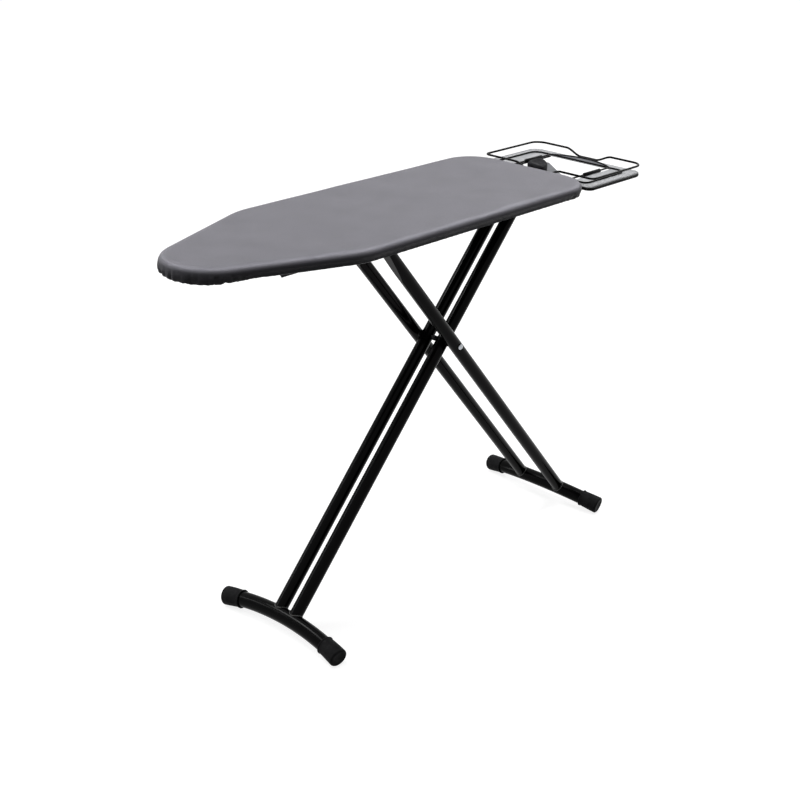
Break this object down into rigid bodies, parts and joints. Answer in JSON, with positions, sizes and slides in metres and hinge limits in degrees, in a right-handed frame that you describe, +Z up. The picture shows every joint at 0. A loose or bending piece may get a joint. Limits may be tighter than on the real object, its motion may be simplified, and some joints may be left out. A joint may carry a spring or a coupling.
{
  "type": "ironing board",
  "caption": "Folding ironing board with a padded grey top, crossed black tube legs on arched feet with rubber caps, a height lock and a wire iron rest at the tail.",
  "frame": {"origin": "middle of the whole board, with legs open, on the floor", "axes": "+X along the top from the nose to the iron rest, +Y across the top, +Z up"},
  "size_m": [1.2816, 0.361, 0.89],
  "materials": {
    "cover_fabric": "woven cotton cover in plain grey with a foam back, matte",
    "elastic_cord": "braided elastic cord in the hem",
    "felt": "needled felt underlay",
    "deck_steel": "perforated steel sheet, light grey powder coat",
    "black_steel": "gloss black enamel on steel tube, wire and sheet",
    "zinc_steel": "zinc plated steel",
    "bright_steel": "bright zinc plated bolt with a domed head",
    "lever_steel": "dark painted steel arm",
    "cap_rubber": "matte black moulded rubber",
    "black_plastic": "black moulded plastic with a fine grain",
    "white_nylon": "natural white nylon",
    "mesh_steel": "light grey steel mesh",
    "plate_steel": "grey steel plate",
    "silicone": "black silicone sleeve"
  },
  "bodies": {
    "board": {"fabric_cover": "cover_fabric", "hem_elastic": "elastic_cord", "felt_underlay": "felt", "deck_sheet": "deck_steel", "deck_rim": "black_steel", "brace_front": "black_steel", "brace_mid": "black_steel", "brace_centre": "black_steel", "brace_rear": "black_steel", "brace_tail": "black_steel", "slide_channel": "black_steel", "hinge_bracket_left": "black_steel", "hinge_bracket_right": "black_steel", "hinge_pin": "zinc_steel", "hinge_pin_nut": "zinc_steel", "hinge_spacer": "white_nylon", "bracket_rivets": "zinc_steel", "shaft_bearings": "white_nylon", "return_spring": "zinc_steel", "rest_frame": "black_steel", "rest_tray": "mesh_steel", "rest_inner_wires": "black_steel", "rest_bow_plate": "plate_steel", "rest_sleeves": "silicone", "guard_rail": "black_steel", "guard_plate": "black_steel", "rest_rods": "black_steel", "rest_clamps": "zinc_steel", "clamp_screws": "zinc_steel"},
    "inner_leg": {"inner_tube_left": "black_steel", "inner_tube_right": "black_steel", "inner_foot": "black_steel", "inner_cap_left": "cap_rubber", "inner_cap_right": "cap_rubber", "inner_tube_plugs": "black_plastic"},
    "outer_leg": {"outer_tube_left": "black_steel", "outer_tube_right": "black_steel", "outer_foot": "black_steel", "outer_cap_left": "cap_rubber", "outer_cap_right": "cap_rubber", "slide_rod": "zinc_steel", "slide_bushes": "white_nylon", "scissor_bolt": "bright_steel", "scissor_nut": "zinc_steel", "centre_spacer": "black_plastic", "side_spacers": "black_plastic"},
    "release_lever": {"release_shaft": "zinc_steel", "height_comb": "zinc_steel", "release_lever": "lever_steel", "lever_grip": "black_plastic"}
  },
  "joints": [
    {"name": "fold", "type": "hinge", "parent": "board", "child": "inner_leg", "pos_m": [0.33575, 0, 0.826], "axis": [0, 1, 0], "range_deg": [0, 45.5]},
    {"name": "scissor", "type": "hinge", "parent": "inner_leg", "child": "outer_leg", "pos_m": [0.09422, 0, 0.55301], "axis": [0, -1, 0], "range_deg": [0, 91]},
    {"name": "release", "type": "hinge", "parent": "board", "child": "release_lever", "pos_m": [0.09422, -0.024, 0.852], "axis": [1, 0, 0], "range_deg": [-22, 0]}
  ],
  "couplings": [
    {"joint": "scissor", "follows": "fold", "ratio": 2}
  ]
}
